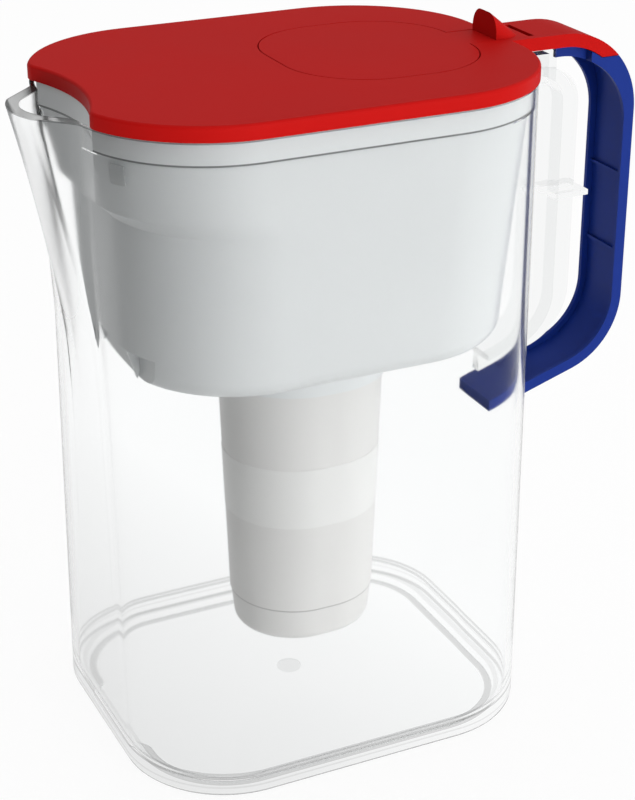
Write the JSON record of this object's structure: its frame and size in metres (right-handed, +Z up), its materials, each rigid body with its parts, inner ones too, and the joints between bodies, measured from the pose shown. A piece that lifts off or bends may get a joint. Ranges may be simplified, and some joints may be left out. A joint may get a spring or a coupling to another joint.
{
  "type": "water_filter_pitcher",
  "caption": "Clear water filter pitcher with a C-shaped handle, a lift-out reservoir that holds an oval filter cartridge, and a lid with a hinged refill door",
  "frame": {"origin": "middle of the base, on the face that the pitcher stands on", "axes": "+Z up, +X towards the handle, -X towards the spout, +Y to the far side in the picture"},
  "size_m": [0.254, 0.1456, 0.2774],
  "materials": {
    "clear_plastic": "clear polished plastic that shows the pieces inside",
    "grey_plastic": "smoke-grey translucent plastic",
    "white_plastic": "warm white satin plastic",
    "red_plastic": "red satin plastic",
    "blue_plastic": "deep blue plastic",
    "seal_rubber": "soft pale grey seal",
    "carbon": "black granules",
    "mesh": "fine white mesh"
  },
  "bodies": {
    "pitcher": {"pitcher_body": "clear_plastic", "handle_frame": "clear_plastic", "handle_grip": "blue_plastic"},
    "reservoir": {"reservoir": "grey_plastic"},
    "filter": {"filter_housing": "white_plastic", "filter_base": "white_plastic", "filter_cap": "white_plastic", "filter_seal": "seal_rubber", "filter_media": "carbon", "top_screen": "mesh", "bottom_screen": "mesh"},
    "lid": {"lid": "red_plastic"},
    "door": {"refill_door": "red_plastic"}
  },
  "joints": [
    {"name": "reservoir_lift", "type": "slide", "parent": "pitcher", "child": "reservoir", "axis": [0, 0, 1], "range_m": [0, 0.235]},
    {"name": "filter_lift", "type": "slide", "parent": "reservoir", "child": "filter", "axis": [0, 0, 1], "range_m": [0, 0.07]},
    {"name": "lid_lift", "type": "slide", "parent": "reservoir", "child": "lid", "axis": [0, 0, 1], "range_m": [0, 0.08]},
    {"name": "door_hinge", "type": "hinge", "parent": "lid", "child": "door", "pos_m": [0.099, 0, 0.2661], "axis": [0, 1, 0], "range_deg": [0, 95]}
  ]
}
